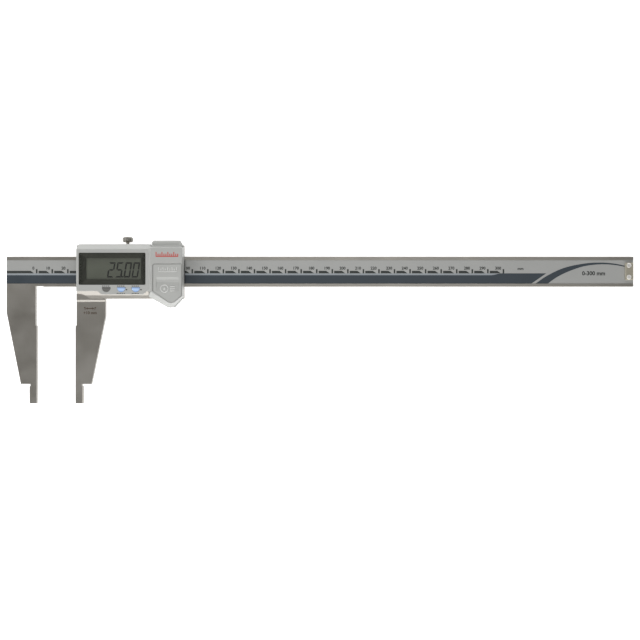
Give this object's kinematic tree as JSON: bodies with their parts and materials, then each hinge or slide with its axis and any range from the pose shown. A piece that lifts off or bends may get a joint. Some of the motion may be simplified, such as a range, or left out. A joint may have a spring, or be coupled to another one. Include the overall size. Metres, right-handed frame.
{
  "type": "digital caliper",
  "caption": "Digital caliper with long nib-style jaws on a 300 mm beam, a display slider, push buttons, a clamp screw, a battery cover and a data port cap.",
  "frame": {"origin": "middle of the fixed jaw's flat measuring face, half way through its thickness", "axes": "+X along the beam from the fixed jaw to the free end, +Y from the jaw tips towards the beam, +Z out of the display"},
  "size_m": [0.4028, 0.1071, 0.017],
  "materials": {
    "ground_steel": "ground",
    "bright_steel": "turned",
    "rear_foil": "satin",
    "scale_laminate": "matte",
    "scale_print": "satin",
    "housing_plastic": "satin silver",
    "clear_window": "polished",
    "black_mask": "printed",
    "lcd": "reflective film",
    "black_rubber": "matte",
    "board": "solder mask",
    "chip": "matte",
    "brass_parts": "bright",
    "battery_case": "bright",
    "grey_key": "gloss",
    "blue_key": "gloss"
  },
  "bodies": {
    "beam": {"main_beam": "ground_steel", "scale_board": "scale_laminate", "scale_cover": "scale_print", "end_stop": "bright_steel", "end_stop_screws": "bright_steel"},
    "slider": {"slider_body": "ground_steel", "rear_plate": "rear_foil", "housing_screws": "bright_steel", "gib": "ground_steel", "gib_screws": "bright_steel", "scale_wipers": "black_rubber", "display_housing": "housing_plastic", "housing_seal": "black_rubber", "display_window": "clear_window", "window_mask": "black_mask", "lcd_panel": "lcd", "lcd_connector": "black_rubber", "main_board": "board", "measuring_chip": "chip", "board_capacitors": "chip", "read_head": "board", "head_pins": "brass_parts", "dome_switches": "bright_steel", "key_seal": "black_rubber", "battery": "battery_case", "battery_seal": "black_rubber", "negative_contact": "bright_steel", "positive_contact": "bright_steel", "data_connector": "chip"},
    "clamp_pad": {"clamp_pad": "brass_parts"},
    "clamp_screw": {"clamp_screw": "bright_steel"},
    "hold_button": {"hold_button": "grey_key"},
    "zero_button": {"zero_button": "blue_key"},
    "origin_button": {"origin_button": "blue_key"},
    "battery_cover": {"battery_cover": "housing_plastic"},
    "data_port_cap": {"data_port_cap": "housing_plastic"}
  },
  "joints": [
    {"name": "slider_travel", "type": "slide", "parent": "beam", "child": "slider", "axis": [1, 0, 0], "range_m": [-0.02495, 0.2825]},
    {"name": "clamp_press", "type": "slide", "parent": "slider", "child": "clamp_pad", "axis": [0, -1, 0], "range_m": [0, 0.0002]},
    {"name": "clamp_turn", "type": "hinge", "parent": "clamp_pad", "child": "clamp_screw", "pos_m": [0.0583, 0.0784, 0], "axis": [0, -1, 0], "range_deg": [0, 181]},
    {"name": "hold_button_press", "type": "slide", "parent": "slider", "child": "hold_button", "axis": [0, 0, -1], "range_m": [0, 0.0005], "stiffness_N_per_m": 300, "springref_m": -0.001},
    {"name": "zero_button_press", "type": "slide", "parent": "slider", "child": "zero_button", "axis": [0, 0, -1], "range_m": [0, 0.0005], "stiffness_N_per_m": 300, "springref_m": -0.001},
    {"name": "origin_button_press", "type": "slide", "parent": "slider", "child": "origin_button", "axis": [0, 0, -1], "range_m": [0, 0.0005], "stiffness_N_per_m": 300, "springref_m": -0.001},
    {"name": "battery_cover_lift", "type": "slide", "parent": "slider", "child": "battery_cover", "axis": [0, 0, 1], "range_m": [0, 0.015]},
    {"name": "port_cap_pull", "type": "slide", "parent": "slider", "child": "data_port_cap", "axis": [0, 1, 0], "range_m": [0, 0.008]}
  ],
  "couplings": [
    {"joint": "clamp_turn", "follows": "clamp_press", "rad_per_m": 15708}
  ]
}
